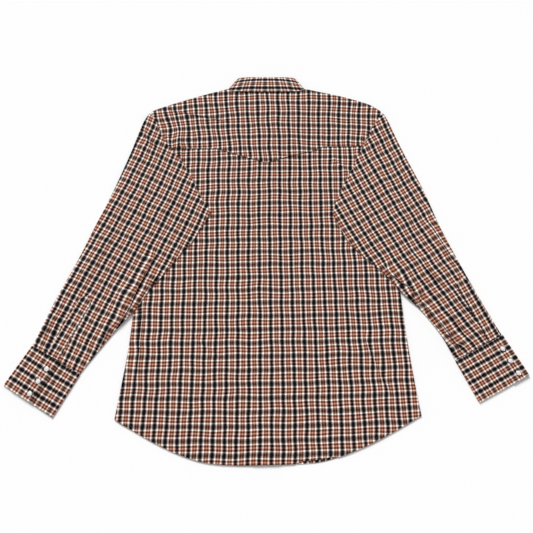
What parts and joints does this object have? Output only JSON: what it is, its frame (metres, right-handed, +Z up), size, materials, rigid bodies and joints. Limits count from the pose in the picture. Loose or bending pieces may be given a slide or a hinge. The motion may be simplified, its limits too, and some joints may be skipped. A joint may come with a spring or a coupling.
{
  "type": "western snap shirt",
  "caption": "Long-sleeved plaid western shirt laid flat with its back up: pointed back yoke, turned-down collar, sleeves folded over the back, snap cuffs and long rounded tails.",
  "frame": {"origin": "centre of the shirt's footprint on the surface it lies on", "axes": "+X across the shirt, +Y from the hem to the collar, +Z up from the surface, towards the shirt's back"},
  "size_m": [1.0448, 0.87, 0.0086],
  "materials": {
    "plaid_cotton": "matte woven cotton in a rust, black and white plaid",
    "pearl_snap": "glossy pearl",
    "snap_rim": "bright metal"
  },
  "bodies": {
    "root": {"front_left": "plaid_cotton", "front_right": "plaid_cotton", "front_band": "plaid_cotton", "back_body": "plaid_cotton", "back_yoke": "plaid_cotton", "collar_leaf": "plaid_cotton", "collar_stand": "plaid_cotton", "sleeve_left": "plaid_cotton", "sleeve_placket_left": "plaid_cotton", "cuff_left": "plaid_cotton", "sleeve_right": "plaid_cotton", "sleeve_placket_right": "plaid_cotton", "cuff_right": "plaid_cotton", "snap_cuff_left_1": "pearl_snap", "snap_cuff_left_2": "pearl_snap", "snap_cuff_left_3": "pearl_snap", "snap_cuff_right_1": "pearl_snap", "snap_cuff_right_2": "pearl_snap", "snap_cuff_right_3": "pearl_snap", "snap_front_0": "pearl_snap", "snap_front_1": "pearl_snap", "snap_front_2": "pearl_snap", "snap_front_3": "pearl_snap", "snap_front_4": "pearl_snap", "snap_front_5": "pearl_snap", "snap_front_6": "pearl_snap", "snap_front_7": "pearl_snap"}
  },
  "joints": []
}
